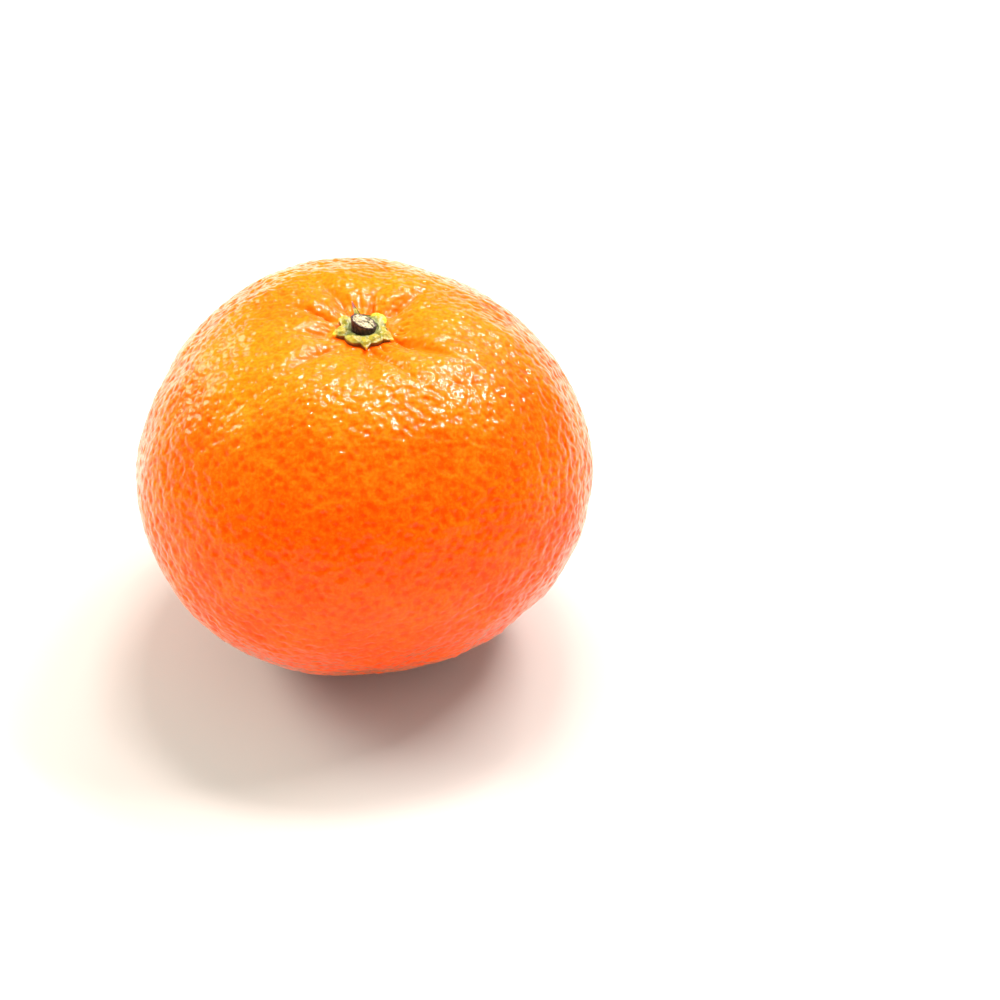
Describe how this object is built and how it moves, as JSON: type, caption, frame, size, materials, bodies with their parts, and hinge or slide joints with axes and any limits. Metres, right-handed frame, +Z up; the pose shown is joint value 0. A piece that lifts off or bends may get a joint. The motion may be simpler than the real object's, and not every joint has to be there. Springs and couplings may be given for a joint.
{
  "type": "mandarin",
  "caption": "Whole mandarin as picked: flattened globe with creased lobes round the stem end, green calyx and a cut stub of stalk.",
  "frame": {"origin": "on the table, at the bottom centre of the fruit's bounding box, which is also the plane of its flattened blossom end", "axes": "+Z up through the stem end, along the fruit's shortest extent; -Y is the side shown to the front"},
  "size_m": [0.068, 0.0684, 0.0566],
  "materials": {
    "rind": "glossy waxy rind with fine oil-gland pits",
    "calyx": "yellow-green, satin",
    "stalk": "dry brown bark with a pale cut face"
  },
  "bodies": {
    "root": {"fruit": "rind", "calyx": "calyx", "stalk": "stalk"}
  },
  "joints": []
}
